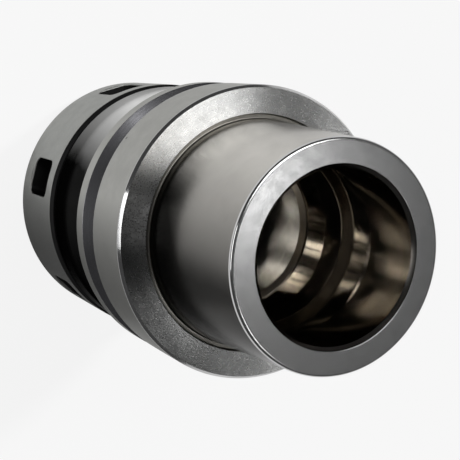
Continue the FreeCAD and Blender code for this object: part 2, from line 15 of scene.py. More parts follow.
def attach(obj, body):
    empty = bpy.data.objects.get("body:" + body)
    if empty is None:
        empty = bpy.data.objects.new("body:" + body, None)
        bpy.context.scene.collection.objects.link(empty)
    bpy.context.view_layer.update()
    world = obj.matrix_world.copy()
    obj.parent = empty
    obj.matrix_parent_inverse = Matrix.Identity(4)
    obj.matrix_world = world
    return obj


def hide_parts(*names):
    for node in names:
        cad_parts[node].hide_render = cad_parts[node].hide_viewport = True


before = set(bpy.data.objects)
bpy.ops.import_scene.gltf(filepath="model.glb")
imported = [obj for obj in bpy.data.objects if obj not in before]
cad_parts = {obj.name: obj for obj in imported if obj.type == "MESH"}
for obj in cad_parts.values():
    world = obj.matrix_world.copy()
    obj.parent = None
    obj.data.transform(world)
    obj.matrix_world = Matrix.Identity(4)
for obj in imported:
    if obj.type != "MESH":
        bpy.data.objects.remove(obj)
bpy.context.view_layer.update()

MM = 0.001
WELD = 0.0005 * MM

# %% [markdown]
# ## Helpers for edit mode
# An operator acts on whatever is selected, and the loaded CAD nodes are selected. So everything is
# deselected before a new primitive is added, and vertices or faces are picked in code by their place.

# %% Selecting and switching modes
def deselect_all():
    """Leave object mode clean for the next primitive."""
    bpy.ops.object.select_all(action="DESELECT")


def start_edit():
    """Open the active object in edit mode, picking vertices."""
    bpy.ops.object.mode_set(mode="EDIT")
    bpy.ops.mesh.select_mode(type="VERT")


def pick(piece):
    """Make one piece the only selected and active one."""
    deselect_all()
    piece.select_set(True)
    bpy.context.view_layer.objects.active = piece


def apply_modifier(piece, kind, **settings):
    """Add a modifier, set it and apply it."""
    pick(piece)
    modifier = piece.modifiers.new(kind.lower(), kind)
    for key, value in settings.items():
        setattr(modifier, key, value)
    bpy.ops.object.modifier_apply(modifier=modifier.name)


def shade(piece, degrees=32):
    """Smooth shading with sharp corners kept, and flat faces kept flat beside narrow edge breaks."""
    pick(piece)
    bpy.ops.object.shade_smooth_by_angle(angle=math.radians(degrees))
    apply_modifier(piece, "WEIGHTED_NORMAL", keep_sharp=True, weight=80)


def report(piece):
    """Print how fine a finished piece is."""
    triangles = sum(len(face.vertices) - 2 for face in piece.data.polygons)
    print(f"{piece.name}: {len(piece.data.vertices)} vertices, {triangles} triangles")


# %% [markdown]
# ## An outline with broken corners
# No edge on a machined part is perfectly sharp: each has a small rounding that catches a thin line of
# light. An outline is a list of corners, each with its radius from the axis, its height and its own
# rounding. Bevelling the finished mesh would also work, but it is slow on long thin faces, so the
# arc at each corner is worked out here, once, in the flat outline.

# %% Round the corners of an outline
def rounded(corners, step=14):
    """Turn (radius, height, rounding) corners in millimetres into points, with an arc at each."""
    points = []
    count = len(corners)
    for index, (radius, height, rounding) in enumerate(corners):
        here = Vector((radius, height))
        if rounding == 0:
            points.append(here)
            continue
        back = (Vector(corners[index - 1][:2]) - here).normalized()
        ahead = (Vector(corners[(index + 1) % count][:2]) - here).normalized()
        half = back.angle(ahead) / 2
        centre = here + (back + ahead).normalized() * rounding / math.sin(half)
        start = here + back * rounding / math.tan(half) - centre
        end = here + ahead * rounding / math.tan(half) - centre
        turn = start.angle_signed(end)
        pieces = max(2, math.ceil(abs(math.degrees(turn)) / step))
        for part in range(pieces + 1):
            spoke = start.copy()
            spoke.rotate(Matrix.Rotation(-turn * part / pieces, 2))
            points.append(centre + spoke)
    return points


def arc(centre_radius, centre_height, reach, first, last, pieces=12):
    """Corners along a round groove, from one angle to another in degrees."""
    angles = [math.radians(first + (last - first) * part / pieces) for part in range(pieces + 1)]
    return [
        (centre_radius + reach * math.cos(angle), centre_height + reach * math.sin(angle), 0)
        for angle in angles
    ]


# %% [markdown]
# ## Turning
# The outline starts as one vertex, and each next point is extruded from it, as a turner follows a
# drawing. Then Spin takes it once round the axis. The first and last copies meet, so doubles are
# merged, and the normals are recalculated because a spin can leave them pointing inwards.

# %% Spin an outline round the axis
def turned(name, corners, steps=240):
    """Make a closed ring of steel from its outline."""
    points = rounded(corners)
    deselect_all()
    bpy.ops.mesh.primitive_plane_add(size=MM)
    piece = bpy.context.active_object
    piece.name = name
    start_edit()
    bpy.ops.mesh.merge(type="CENTER")
    bpy.ops.transform.translate(value=(points[0].x * MM, 0, points[0].y * MM))
    for before, point in zip(points, points[1:]):
        move = (point - before) * MM
        bpy.ops.mesh.extrude_region_move(TRANSFORM_OT_translate={"value": (move.x, 0, move.y)})
    mesh = bmesh.from_edit_mesh(piece.data)
    mesh.verts.ensure_lookup_table()
    mesh.edges.new((mesh.verts[-1], mesh.verts[0]))
    bmesh.update_edit_mesh(piece.data)
    bpy.ops.mesh.select_all(action="SELECT")
    bpy.ops.mesh.spin(steps=steps, angle=math.tau, center=(0, 0, 0), axis=(0, 0, 1))
    bpy.ops.mesh.select_all(action="SELECT")
    bpy.ops.mesh.remove_doubles(threshold=WELD)
    bpy.ops.mesh.normals_make_consistent(inside=False)
    bpy.ops.object.mode_set(mode="OBJECT")
    return piece


# %% [markdown]
# ## The chuck body
# One turned piece carries the shank, the flange and the waist, and its nose reaches down into the
# nut. The shank is hollow: the spindle's fingers grip behind the shoulder inside it. The list below
# follows the outline from the nose, up the outside to the tip of the shank, and down the bore.

# %% Turn the chuck body
BODY_OUTLINE = [
    (20.199, 12.0, 0.3), (23.079, 12.0, 0.1), (24.079, 13.0, 0.1), (24.079, 26.0, 0.05),
    (23.579, 26.0, 0.2), (23.579, 29.0, 0.4), (30.0, 29.0, 1.0), (30.0, 37.0, 8.0),
    (27.0, 46.0, 14.0), (27.0, 49.0, 0.4), (30.5, 49.0, 0.15), (31.5, 50.0, 0.2),
    (31.5, 53.613, 0.2), (26.5, 56.5, 0.3), (26.5, 57.5, 0.3), (31.5, 60.387, 0.2),
    (31.5, 74.4, 0.15), (30.9, 75.0, 0.12), (25.451, 75.0, 0.12), (25.451, 74.1, 0.3),
    (24.366, 74.1, 0.3), (22.717, 107.0, 0.75), (17.8, 107.0, 0.1), (17.0, 106.2, 0.1),
    (17.0, 92.5, 0.15), (20.0, 87.304, 0.2), (20.0, 81.604, 1.0), (18.309, 79.604, 1.0),
    (17.209, 74.504, 0.1), (17.209, 67.304, 0.08), (17.559, 67.304, 0.08), (17.559, 66.504, 0.08),
    (17.209, 66.504, 0.08), (16.109, 65.404, 0.12), (16.109, 48.97, 0.1), (15.139, 48.0, 0.2),
]
body = turned("turned_body", BODY_OUTLINE)
shade(body)
report(body)

# %% [markdown]
# ## The clamping nut
# The nut is turned as well, with a bevel at its front and a round race inside for the balls. Six
# spanner pockets are milled into its side and a small hole lets the balls in. A boolean cut leaves a
# razor edge, and a bevel afterwards would stumble over the slivers that it makes. So each cutter
# flares out just where it passes the nut's round side, and cuts its own broken edge.

# %% A cutter that flares at the nut's side
NUT_RADIUS = 30.5
FLOOR_ROUNDING = 0.3
MIDWAY = 0.3
JUST_OUTSIDE = 0.02


def flared_cutter(name, outline, floor, angle, edge):
    """Loft a plug through (across, height) points, from a floor at a radius out past the nut."""
    count = len(outline)
    middle = sum((Vector(point) for point in outline), Vector((0, 0))) / count
    # Each level says how far the outline grows, then the radius it follows or the depth it lies at.
    step = FLOOR_ROUNDING * MIDWAY
    levels = [(-FLOOR_ROUNDING, None, floor), (-step, None, floor + step)]
    levels += [(0, None, floor + FLOOR_ROUNDING)]
    levels += [(0, NUT_RADIUS - edge, None), (edge * MIDWAY, NUT_RADIUS - edge * MIDWAY, None)]
    levels += [(edge, NUT_RADIUS + JUST_OUTSIDE, None), (edge, None, NUT_RADIUS + 1)]
    deselect_all()
    bpy.ops.mesh.primitive_circle_add(vertices=count, radius=MM, fill_type="NGON")
    cutter = bpy.context.active_object
    cutter.name = name
    start_edit()
    for level, (grow, reach, flat) in enumerate(levels):
        if level:
            bpy.ops.mesh.extrude_region_move()
        mesh = bmesh.from_edit_mesh(cutter.data)
        ring = [vertex for vertex in mesh.verts if vertex.select]
        ring.sort(key=lambda vertex: vertex.index)
        for index, vertex in enumerate(ring):
            point = Vector(outline[index])
            along = Vector(outline[(index + 1) % count]) - Vector(outline[index - 1])
            outward = Vector((along.y, -along.x)).normalized()
            outward *= math.copysign(1, outward.dot(point - middle))
            point += outward * grow
            depth = flat if flat is not None else math.sqrt(reach ** 2 - point.x ** 2)
            vertex.co = Vector((depth, point.x, point.y)) * MM
        bmesh.update_edit_mesh(cutter.data)
    bpy.ops.mesh.select_all(action="SELECT")
    bpy.ops.mesh.normals_make_consistent(inside=False)
    bpy.ops.object.mode_set(mode="OBJECT")
    cutter.data.transform(Matrix.Rotation(math.radians(angle), 4, "Z"))
    return cutter


def cut_away(piece, cutters):
    """Take the cutters' material out of a piece and remove the cutters."""
    for cutter in cutters:
        apply_modifier(piece, "BOOLEAN", operation="DIFFERENCE", solver="EXACT", object=cutter)
        bpy.data.objects.remove(cutter)


# %% Turn the nut and mill its pockets
BALL_HEIGHT = 7.8
BALL_CIRCLE = 24.4
RACE_RADIUS = 2.05
NUT_OUTLINE = [
    (25.0, 0.0, 0.1), (27.498, 0.0, 0.3), (NUT_RADIUS, 5.2, 0.4), (NUT_RADIUS, 27.2, 0.25),
    (29.7, 28.0, 0.25), (25.55, 28.0, 0.1), (25.05, 27.5, 0.1), (25.05, 11.2, 0.1), (24.5, 11.2, 0.1),
    *arc(BALL_CIRCLE, BALL_HEIGHT, RACE_RADIUS, 87.2, -87.2), (24.5, 0.5, 0.1),
]
POCKETS = 6
POCKET_HALF = 4.55
POCKET_LOW = 10.8
POCKET_HIGH = 23.3
POCKET_CORNER = 2.0
POCKET_FLOOR = 26.3
POCKET_EDGE = 0.35
CORNER_STEPS = 12
HOLE_RADIUS = 2.25
HOLE_FLOOR = 23.5
HOLE_EDGE = 0.15
HOLE_ANGLE = 30


def pocket_outline():
    """Points round a spanner pocket, with an arc at each of its four corners."""
    points = []
    inner = POCKET_HALF - POCKET_CORNER
    low, high = POCKET_LOW + POCKET_CORNER, POCKET_HIGH - POCKET_CORNER
    centres = ((inner, high), (-inner, high), (-inner, low), (inner, low))
    for quarter, (across, height) in enumerate(centres):
        for part in range(CORNER_STEPS + 1):
            angle = math.radians(90 * (quarter + part / CORNER_STEPS))
            reach_across, reach_up = POCKET_CORNER * math.cos(angle), POCKET_CORNER * math.sin(angle)
            points.append((across + reach_across, height + reach_up))
    return points


def circle_outline(height, radius, count=48):
    """Points round a hole."""
    angles = [math.tau * part / count for part in range(count)]
    return [(radius * math.cos(a), height + radius * math.sin(a)) for a in angles]


nut = turned("turned_nut", NUT_OUTLINE)
cutters = [
    flared_cutter("pocket_cutter", pocket_outline(), POCKET_FLOOR, 360 / POCKETS * k, POCKET_EDGE)
    for k in range(POCKETS)
]
hole = circle_outline(BALL_HEIGHT, HOLE_RADIUS)
cutters.append(flared_cutter("hole_cutter", hole, HOLE_FLOOR, HOLE_ANGLE, HOLE_EDGE))
cut_away(nut, cutters)
shade(nut)
report(nut)

# %% [markdown]
# ## The thread
# The nut runs on a fine thread of 1.5 mm pitch. The Screw modifier sweeps a small ridge up the axis,
# and Bisect trims its ends square. The nut's own ridge sits half a pitch away, so that the two
# threads mesh without touching, and they show when the nut is screwed off.

# %% Screw a ridge round the axis
PITCH = 1.5
ROOT_HALF = 0.62
CREST_HALF = 0.1
ROOT_SINK = 0.25
STEPS_A_TURN = 96
NOSE_THREAD_LOW = 13.4
NUT_THREAD_LOW = 11.8


def thread_ridge(name, root, crest, low, high, lift):
    """Sweep a trapezoid ridge from root to crest radius, between two heights."""
    deselect_all()
    bpy.ops.mesh.primitive_plane_add(size=MM)
    ridge = bpy.context.active_object
    ridge.name = name
    start_edit()
    sunk = root + math.copysign(ROOT_SINK, root - crest)
    first = low - PITCH + lift
    section = ((sunk, -ROOT_HALF), (sunk, ROOT_HALF), (crest, CREST_HALF), (crest, -CREST_HALF))
    mesh = bmesh.from_edit_mesh(ridge.data)
    loop = mesh.faces.active or next(iter(mesh.faces))
    for vertex, (radius, height) in zip(loop.verts, section):
        vertex.co = Vector((radius, 0, first + height)) * MM
    bmesh.ops.delete(mesh, geom=[loop], context="FACES_ONLY")
    bmesh.update_edit_mesh(ridge.data)
    bpy.ops.object.mode_set(mode="OBJECT")
    turns = math.ceil((high - low) / PITCH) + 2
    apply_modifier(
        ridge, "SCREW", axis="Z", angle=math.tau, screw_offset=PITCH * MM, iterations=turns,
        steps=STEPS_A_TURN, render_steps=STEPS_A_TURN,
        use_merge_vertices=True, merge_threshold=WELD,
    )
    start_edit()
    for height, side in ((low, -1), (high, 1)):
        bpy.ops.mesh.select_all(action="SELECT")
        bpy.ops.mesh.bisect(
            plane_co=(0, 0, height * MM), plane_no=(0, 0, side), clear_outer=True, use_fill=True,
        )
    bpy.ops.mesh.select_all(action="SELECT")
    bpy.ops.mesh.normals_make_consistent(inside=False)
    bpy.ops.object.mode_set(mode="OBJECT")
    shade(ridge, 20)
    return ridge


half_pitch_away = PITCH / 2 - NOSE_THREAD_LOW + NUT_THREAD_LOW
nose_thread = thread_ridge("nose_thread", 24.079, 24.95, NOSE_THREAD_LOW, 25.95, 0)
nut_thread = thread_ridge("nut_thread", 25.05, 24.2, NUT_THREAD_LOW, 27.3, half_pitch_away)
report(nose_thread)
report(nut_thread)

# %% [markdown]
# ## Inside the nut: cone ring and collet
# The cone ring presses on the collet's head while the nut turns round it on balls. Its eccentric lip
# snaps behind the head and draws the collet out again. The collet is slit from both ends so that it
# can close: one saw blade is modelled as a thin block, and its copies cut all sixteen slots.

# %% Turn the cone ring and cut its eccentric lip
RING_STEPS = 192
LIP_RADIUS = 19.45
LIP_OFFSET = 1.3
LIP_TOP = 8.6
LIP_CUT = 6
RING_OUTLINE = [
    (17.041, 0.5, 0.1), (23.9, 0.5, 0.1), (24.3, 0.9, 0.1),
    *arc(BALL_CIRCLE, BALL_HEIGHT, RACE_RADIUS, -92.8, -267.2),
    (24.3, 10.1, 0.1), (23.9, 10.5, 0.1), (20.9, 10.5, 0.1), (20.9, LIP_TOP, 0.1),
    (17.15, LIP_TOP, 0.1), (17.15, 5.6, 0.1), (19.35, 5.6, 0.1), (19.35, 4.5, 0.1),
]
ring = turned("turned_ring", RING_OUTLINE, RING_STEPS)
deselect_all()
bpy.ops.mesh.primitive_cylinder_add(
    vertices=160, radius=LIP_RADIUS * MM, depth=LIP_CUT * MM,
    location=(LIP_OFFSET * MM, 0, LIP_TOP * MM),
)
cut_away(ring, [bpy.context.active_object])
shade(ring)
report(ring)

# %% Turn the collet and saw its slots
COLLET_OUTLINE = [
    (10.4, 0.5, 0.1), (16.991, 0.5, 0.15), (19.3, 4.5, 0.2), (19.3, 5.5, 0.15), (17.3, 5.5, 0.2),
    (17.3, 8.7, 0.2), (20.1, 8.7, 0.05), (20.5, 9.1, 0.05), (20.5, 9.5, 0.1), (15.356, 46.1, 0.1),
    (14.9, 46.5, 0.1), (10.4, 46.5, 0.1), (10.0, 46.1, 0.1), (10.0, 0.9, 0.1),
]
SLOTS_A_SIDE = 8
SLOT_TURN = 360 / SLOTS_A_SIDE
SLOT_WIDTH = 0.9
BLADE_LENGTH = 17
BLADE_MIDDLE = 13.5


def saw_cut(angle, low, high):
    """One thin block from inside the bore to outside the collet, between two heights."""
    deselect_all()
    bpy.ops.mesh.primitive_cube_add(size=1)
    blade = bpy.context.active_object
    start_edit()
    bpy.ops.transform.resize(value=(BLADE_LENGTH * MM, SLOT_WIDTH * MM, (high - low) * MM))
    bpy.ops.transform.translate(value=(BLADE_MIDDLE * MM, 0, (low + high) / 2 * MM))
    bpy.ops.transform.rotate(value=-math.radians(angle), orient_axis="Z", center_override=(0, 0, 0))
    bpy.ops.object.mode_set(mode="OBJECT")
    return blade


collet = turned("turned_collet", COLLET_OUTLINE, RING_STEPS)
blades = [saw_cut(SLOT_TURN * k, -0.5, 39.5) for k in range(SLOTS_A_SIDE)]
blades += [saw_cut(SLOT_TURN * (k + 0.5), 11, 47.5) for k in range(SLOTS_A_SIDE)]
cut_away(collet, blades)
shade(collet)
report(collet)

# %% [markdown]
# ## The ball plug
# A tiny grub screw closes the filling hole. It is a short cylinder with a broken edge and a hexagon
# socket, turned round the axis to its place at 30 degrees, between two pockets.

# %% Make the plug
PLUG_RADIUS = 2.2
PLUG_LENGTH = 3.15
PLUG_PLACE = 28.525
SOCKET_FLATS = 2
SOCKET_DEPTH = 3
deselect_all()
bpy.ops.mesh.primitive_cylinder_add(vertices=48, radius=PLUG_RADIUS * MM, depth=PLUG_LENGTH * MM)
plug = bpy.context.active_object
plug.name = "grub_screw"
apply_modifier(plug, "BEVEL", width=0.2 * MM, segments=3, limit_method="ANGLE")
deselect_all()
bpy.ops.mesh.primitive_cylinder_add(
    vertices=6, radius=SOCKET_FLATS / math.sqrt(3) * MM, depth=SOCKET_DEPTH * MM,
    location=(0, 0, PLUG_LENGTH / 2 * MM),
)
cut_away(plug, [bpy.context.active_object])
plug.data.transform(Matrix.Rotation(math.radians(90), 4, "Y"))
plug.data.transform(Matrix.Translation((PLUG_PLACE * MM, 0, BALL_HEIGHT * MM)))
plug.data.transform(Matrix.Rotation(math.radians(HOLE_ANGLE), 4, "Z"))
shade(plug)
report(plug)

# %% Hide the CAD node that each piece replaces, and attach the piece to what it moves with
for piece, node, carrier, finish in (
    (body, "chuck_body", "chuck", "ground_steel"),
    (nut, "clamping_nut", "nut", "nut_steel"),
    (ring, "cone_ring", "carriage", "ring_steel"),
    (collet, "collet", "carriage", "spring_steel"),
    (plug, "ball_plug", "nut", "plug_steel"),
):
    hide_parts(node)
    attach(piece, carrier)
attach(nose_thread, "chuck")
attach(nut_thread, "nut")

# %% [markdown]
# ## Steel finishes
# Every surface here is bare steel, so its look is nearly all reflection: how bright the metal is, how
# rough it was left, and which way the tool marks run. On the lathe the marks go round the axis, so a
# one-dimensional noise that reads only the height, or only the distance from the axis, draws them.
# Wider noise gives the cloudy patches that handling leaves, and a cell pattern the small pits.
# Painted picture textures could do this too, but they need an unwrapped mesh and a photo of steel.

# %% Nodes for worn steel
def add_node(tree, kind, mode=None, **inputs):
    """Add a node, choose its mode, and set or link its inputs, by name or as i and a number."""
    node = tree.nodes.new(kind)
    for key, value in (mode or {}).items():
        setattr(node, key, value)
    for name, value in inputs.items():
        by_number = name[1:].isdigit()
        socket = node.inputs[int(name[1:]) if by_number else name.replace("_", " ")]
        if isinstance(value, bpy.types.NodeSocket):
            tree.links.new(value, socket)
        else:
            socket.default_value = value
    return node


def calculate(tree, operation, first, second):
    """A Math node's result."""
    return add_node(tree, "ShaderNodeMath", {"operation": operation}, i0=first, i1=second).outputs[0]


def length_of(tree, vector):
    """The length of a vector."""
    return add_node(tree, "ShaderNodeVectorMath", {"operation": "LENGTH"}, i0=vector).outputs["Value"]


def remap(tree, value, low, high, to_low, to_high):
    """Stretch a value from one range to another, held at its ends."""
    node = add_node(
        tree, "ShaderNodeMapRange", Value=value, From_Min=low, From_Max=high,
        To_Min=to_low, To_Max=to_high,
    )
    return node.outputs["Result"]


# %% [markdown]
# ## Marks, pits, scuffs and painted shade
# Each kind of wear is a small function that returns one number for a point on the steel, and so is
# the painted shade. A factor under one darkens the colour, and a number over nought is added to the
# roughness. The pits take a small share of the cells of a Voronoi pattern. The painted shade darkens
# the colour where shade falls: in the neck, at the root of the taper, and on one side.
# Blender's noise stays mostly in a narrow span round one half, so the spans below stretch it.

# %% One function for each kind of wear, and one for the painted shade
MARKS_PER_METRE = 6000
FINE_PER_METRE = 3200
SCUFFS_PER_METRE = 900
PITS_PER_METRE = 420
PIT_SIZE = 0.16
PIT_TONE = 0.25
ROOT_HEIGHT = 0.075
ROOT_END = 0.087
RAGGED_MM = 3
CLOUD_SPAN = (0.35, 0.65)
MARK_SPAN = (0.3, 0.7)
SCUFF_SPAN = (0.5, 0.62)
SCUFF_CLOUDS = (0.4, 0.6)


def tool_marks(tree, axes, marks):
    """Noise that changes only with the height, or only with the distance from the axis."""
    along = axes.outputs["Z"]
    if marks == "radius":
        flat = add_node(tree, "ShaderNodeCombineXYZ", X=axes.outputs["X"], Y=axes.outputs["Y"])
        along = length_of(tree, flat.outputs[0])
    line = calculate(tree, "MULTIPLY", along, MARKS_PER_METRE)
    noise = add_node(tree, "ShaderNodeTexNoise", {"noise_dimensions": "1D"}, W=line, Scale=1, Detail=3)
    return noise.outputs["Fac"]


def painted_shade_factor(tree, axes, cloud, strength, start, end, aim, root):
    """A painted shade: a factor that falls towards one side, from start to end in millimetres, and to
    the root.
    """
    side = calculate(
        tree, "ADD", calculate(tree, "MULTIPLY", axes.outputs["X"], aim[0] / MM),
        calculate(tree, "MULTIPLY", axes.outputs["Y"], aim[1] / MM),
    )
    side = calculate(tree, "ADD", side, calculate(tree, "MULTIPLY", cloud, RAGGED_MM))
    if root:
        near_root = remap(tree, axes.outputs["Z"], ROOT_HEIGHT, ROOT_END, root, 0)
        side = calculate(tree, "ADD", side, near_root)
    return remap(tree, side, start, end, 1, 1 - strength)


def pitted(tree, place, share):
    """A factor that is low inside round pits, in a share of the cells."""
    cells = add_node(tree, "ShaderNodeTexVoronoi", Vector=place, Scale=PITS_PER_METRE)
    chosen = add_node(tree, "ShaderNodeSeparateColor", Color=cells.outputs["Color"])
    size = remap(tree, chosen.outputs[0], 1 - share, 1, 0, PIT_SIZE)
    return remap(tree, calculate(tree, "LESS_THAN", cells.outputs["Distance"], size), 0, 1, 1, PIT_TONE)


def scuffed(tree, place, cloud, amount):
    """Extra roughness in small rubbed patches."""
    rubs = add_node(
        tree, "ShaderNodeTexNoise", Vector=place, Scale=SCUFFS_PER_METRE, Detail=5, Roughness=0.7,
    )
    patch = remap(tree, rubs.outputs["Fac"], *SCUFF_SPAN, 0, amount)
    return calculate(tree, "MULTIPLY", patch, remap(tree, cloud, *SCUFF_CLOUDS, 0, 1))


# %% [markdown]
# ## One steel for every surface
# The marks, patches and pits multiply the colour, and the cloudy noise also shifts the roughness a
# little. A faint bump from the same marks keeps the highlights from being perfectly clean. A ground
# or turned face also spreads its highlights across the marks: anisotropy does that, with the tangent
# turned round the axis, and it gives the flange its bright and dark fans. At a grazing angle any metal
# turns white, and the edge tint holds that back where old oil covers the steel.

# %% Build a steel
CLOUD_LIFT = 0.3
ROUGH_SPAN = (0.35, 0.7)
ROUGHER = 1.06
SMOOTHER = 0.96
MARK_RELIEF = 4
GRAIN_RELIEF = 3
BUMP_STRENGTH = 0.12
BUMP_DEPTH = 0.03 * MM
QUARTER_TURN = 0.25


def steel(name, colour, roughness, marks="height", streaks=0.1, clouds=0.15, pits=0, grain=0,
          anisotropy=0, cloud_size=4, painted_shade=None, scuffs=0, edge_tint=0.7):
    """Bare steel with its tool marks, cloudy patches, wear and any painted shade."""
    material = bpy.data.materials.new(name)
    material.use_nodes = True
    tree = material.node_tree
    shader = tree.nodes["Principled BSDF"]
    shader.inputs["Metallic"].default_value = 1
    shader.inputs["Specular Tint"].default_value = (edge_tint, edge_tint, edge_tint, 1)
    place = add_node(tree, "ShaderNodeTexCoord").outputs["Object"]
    axes = add_node(tree, "ShaderNodeSeparateXYZ", Vector=place)
    turning = tool_marks(tree, axes, marks)
    cloud = add_node(
        tree, "ShaderNodeTexNoise", Vector=place, Scale=1 / (cloud_size * MM), Detail=4, Roughness=0.6,
    ).outputs["Fac"]
    fine = add_node(
        tree, "ShaderNodeTexNoise", Vector=place, Scale=FINE_PER_METRE, Detail=2,
    ).outputs["Fac"]

    bright = remap(tree, cloud, *CLOUD_SPAN, 1 - clouds, 1 + clouds * CLOUD_LIFT)
    bright = calculate(tree, "MULTIPLY", bright, remap(tree, turning, *MARK_SPAN, 1 - streaks, 1))
    # Painted shade: the colour darkens towards one side, and towards the root of the taper.
    if painted_shade:
        bright = calculate(tree, "MULTIPLY", bright, painted_shade_factor(tree, axes, cloud, **painted_shade))
    if pits:
        bright = calculate(tree, "MULTIPLY", bright, pitted(tree, place, pits))
    paint = add_node(tree, "ShaderNodeVectorMath", {"operation": "SCALE"}, i0=colour, Scale=bright)
    tree.links.new(paint.outputs["Vector"], shader.inputs["Base Color"])

    rough = remap(tree, cloud, *ROUGH_SPAN, roughness * ROUGHER, roughness * SMOOTHER)
    if grain:
        rough = calculate(tree, "MULTIPLY", rough, remap(tree, fine, *MARK_SPAN, 1 - grain, 1 + grain))
    if scuffs:
        rough = calculate(tree, "ADD", rough, scuffed(tree, place, cloud, scuffs))
    tree.links.new(rough, shader.inputs["Roughness"])

    relief = calculate(
        tree, "ADD", calculate(tree, "MULTIPLY", turning, streaks * MARK_RELIEF),
        calculate(tree, "MULTIPLY", fine, grain * GRAIN_RELIEF),
    )
    bump = add_node(tree, "ShaderNodeBump", Height=relief, Strength=BUMP_STRENGTH, Distance=BUMP_DEPTH)
    tree.links.new(bump.outputs["Normal"], shader.inputs["Normal"])
    if anisotropy:
        shader.inputs["Anisotropic"].default_value = anisotropy
        shader.inputs["Anisotropic Rotation"].default_value = QUARTER_TURN
        way = add_node(tree, "ShaderNodeTangent", {"direction_type": "RADIAL", "axis": "Z"})
        tree.links.new(way.outputs["Tangent"], shader.inputs["Tangent"])
    return material


# %% [markdown]
# ## The finishes on this chuck
# The taper and the flange face are ground, because they seat in the spindle. The bands between the
# grooves and the nut are finer and duller, the neck is polished, and the bore is honed and brown with
# old oil. The bright tip takes the knocks. Places that no light reaches, such as the thread, the nut's
# inside and its pockets, are painted nearly black as shade, and the mouth of the bore is painted dark.
# The neck, the taper, the flange face, the bands and the nut get painted shade on one side too.
# The balls are bearing steel, and the plug is black oxide.

# %% Mix the finishes
# LEFT_SIDE and LOW_SIDE aim the painted shade that darkens one side of the chuck.
LEFT_SIDE = (-0.743, -0.669)
LOW_SIDE = (-0.5, -0.86)
FINISH_TABLE = {
    "face_ground": {
        "colour": (0.94, 0.94, 0.93), "roughness": 0.3, "marks": "radius", "streaks": 0.13,
        "clouds": 0.15, "pits": 0.05, "grain": 0.25, "anisotropy": 1, "cloud_size": 2.5, "scuffs": 0.14,
        # Painted shade: the flange face darkens towards one side.
        "painted_shade": {"strength": 0.72, "start": 21, "end": 29, "aim": LEFT_SIDE, "root": 0},
    },
    "tip_ground": {
        "colour": (0.92, 0.92, 0.92), "roughness": 0.21, "marks": "radius", "streaks": 0.05,
        "clouds": 0.1, "grain": 0.1, "cloud_size": 2.5,
    },
    "taper_ground": {
        "colour": (0.68, 0.66, 0.62), "roughness": 0.22, "clouds": 0.12, "pits": 0.01,
        "anisotropy": 0.2, "cloud_size": 9, "edge_tint": 0.6,
        # Painted shade: the taper darkens towards the low side and at its root.
        "painted_shade": {"strength": 0.93, "start": -3, "end": 21, "aim": LOW_SIDE, "root": 14},
    },
    "band_ground": {
        "colour": (0.42, 0.42, 0.40), "roughness": 0.42, "streaks": 0.05, "clouds": 0.06, "pits": 0.005,
        "grain": 0.05, "anisotropy": 0.3,
        # Painted shade: the bands darken towards one side.
        "painted_shade": {"strength": 0.6, "start": 25, "end": 33, "aim": LEFT_SIDE, "root": 0},
    },
    "neck_polished": {
        "colour": (0.88, 0.88, 0.87), "roughness": 0.3, "streaks": 0.05, "clouds": 0.08, "pits": 0.004,
        "anisotropy": 0.3, "edge_tint": 0.2,
        # Painted shade: the neck goes nearly black towards one side.
        "painted_shade": {"strength": 0.98, "start": 0, "end": 20, "aim": LEFT_SIDE, "root": 0},
    },
    "nut_matt": {
        "colour": (0.38, 0.385, 0.37), "roughness": 0.48, "streaks": 0.03, "clouds": 0.06, "grain": 0.1,
        # Painted shade: the nut darkens towards one side.
        "painted_shade": {"strength": 0.7, "start": 25, "end": 32, "aim": LEFT_SIDE, "root": 0},
    },
    "groove_ground": {
        "colour": (0.33, 0.33, 0.35), "roughness": 0.22, "clouds": 0.12, "anisotropy": 0.3,
    },
    "recess_turned": {
        "colour": (0.38, 0.365, 0.33), "roughness": 0.3, "marks": "radius", "streaks": 0.15,
    },
    "edge_polished": {"colour": (0.60, 0.60, 0.60), "roughness": 0.1, "streaks": 0.03, "clouds": 0.1},
    "bore_honed": {"colour": (0.48, 0.43, 0.36), "roughness": 0.1, "clouds": 0.2, "pits": 0.004},
    "bore_deep": {"colour": (0.80, 0.77, 0.72), "roughness": 0.22, "clouds": 0.2, "pits": 0.004},
    # Painted shade: the mouth of the bore is painted dark.
    "bore_mouth_painted_dark": {"colour": (0.16, 0.15, 0.14), "roughness": 0.2, "clouds": 0.2, "pits": 0.004},
    # Painted shade: near-black for places that no light reaches inside the nut and the body.
    "painted_black_shade": {"colour": (0.03, 0.03, 0.03), "roughness": 0.5, "clouds": 0.1, "edge_tint": 0.2},
    "thread_cut": {"colour": (0.30, 0.30, 0.29), "roughness": 0.3, "clouds": 0.1},
    "spring_ground": {"colour": (0.60, 0.58, 0.54), "roughness": 0.22, "streaks": 0.08, "clouds": 0.1},
    "collet_bore": {"colour": (0.70, 0.67, 0.62), "roughness": 0.12, "streaks": 0.04, "clouds": 0.1},
    "bearing_steel": {"colour": (0.62, 0.62, 0.62), "roughness": 0.08, "streaks": 0.02, "clouds": 0.05},
    "black_oxide": {"colour": (0.06, 0.06, 0.06), "roughness": 0.35, "streaks": 0.05, "clouds": 0.1},
}
FINISHES = {name: steel(name, **settings) for name, settings in FINISH_TABLE.items()}
print(len(FINISHES), "steel finishes")

# %% [markdown]
# ## Dressing the pieces
# A lathe leaves one finish on each turned surface, so the finish follows from where a face lies: its
# distance from the axis, its height, and whether it points up. Each piece gets a list of zones, in
# millimetres, and a face takes the first one that it lies in. Splitting the pieces by material in edit
# mode would work as well, but a list of sizes is easier to read and to change.

# %% Give each face the finish of its place
FACING_UP = 0.9
ALL = (-1, 200)


def within(value, span):
    """Whether a value lies between the two ends of a span."""
    return span[0] <= value < span[1]


